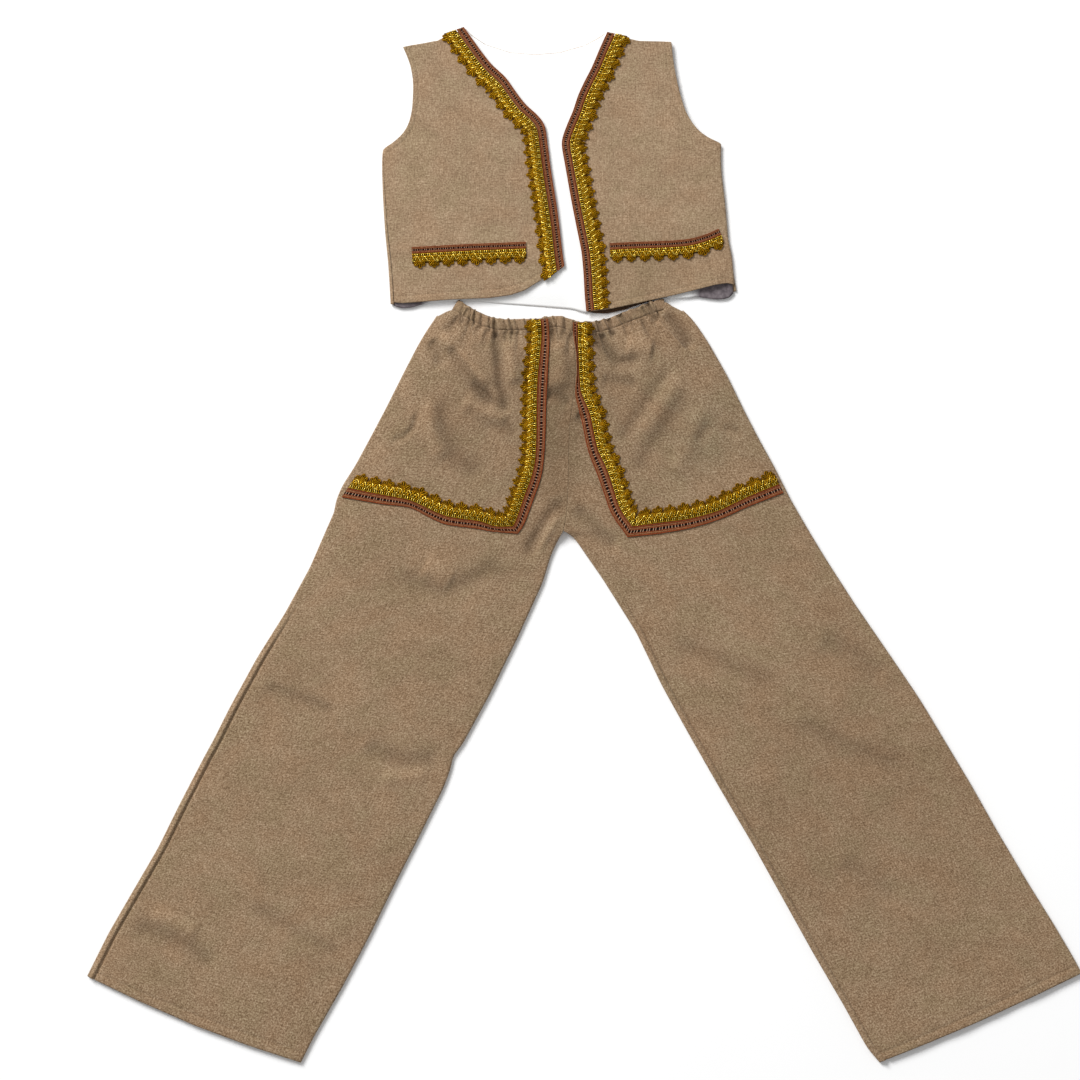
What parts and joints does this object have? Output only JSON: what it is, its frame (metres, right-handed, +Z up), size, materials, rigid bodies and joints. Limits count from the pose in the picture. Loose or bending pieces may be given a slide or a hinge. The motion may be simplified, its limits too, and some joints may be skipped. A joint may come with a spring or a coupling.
{
  "type": "child's open vest and gathered wide trousers set",
  "caption": "Child's open sleeveless vest and wide gathered trousers laid flat as one set, edged with scalloped gold lace braid and red-brown eyelet braid.",
  "frame": {"origin": "middle of the set's bounding box, on the floor it lies on", "axes": "+X across the set to the wearer's left side as it lies face up, +Y from the leg hems to the shoulders, +Z up from the floor"},
  "size_m": [0.8955, 0.9324, 0.0097],
  "materials": {
    "cloth": "beige-brown heathered linen weave",
    "waistband_cloth": "the same cloth, gathered over elastic",
    "lining": "plain white lining cloth",
    "gold_braid": "old-gold lace braid with a soft sheen",
    "brown_braid": "red-brown woven braid with eyelets"
  },
  "bodies": {
    "root": {"waistband": "waistband_cloth", "trousers_front_right": "cloth", "trousers_back_right": "cloth", "trousers_front_left": "cloth", "trousers_back_left": "cloth", "gold_braid_trousers_right": "gold_braid", "brown_braid_trousers_right": "brown_braid", "gold_braid_trousers_left": "gold_braid", "brown_braid_trousers_left": "brown_braid", "vest_front_right": "cloth", "gold_braid_vest_right": "gold_braid", "brown_braid_vest_right": "brown_braid", "gold_braid_pocket_right": "gold_braid", "brown_braid_pocket_right": "brown_braid", "vest_front_left": "cloth", "gold_braid_vest_left": "gold_braid", "brown_braid_vest_left": "brown_braid", "gold_braid_pocket_left": "gold_braid", "brown_braid_pocket_left": "brown_braid", "vest_back": "cloth", "vest_back_lining": "lining"}
  },
  "joints": []
}
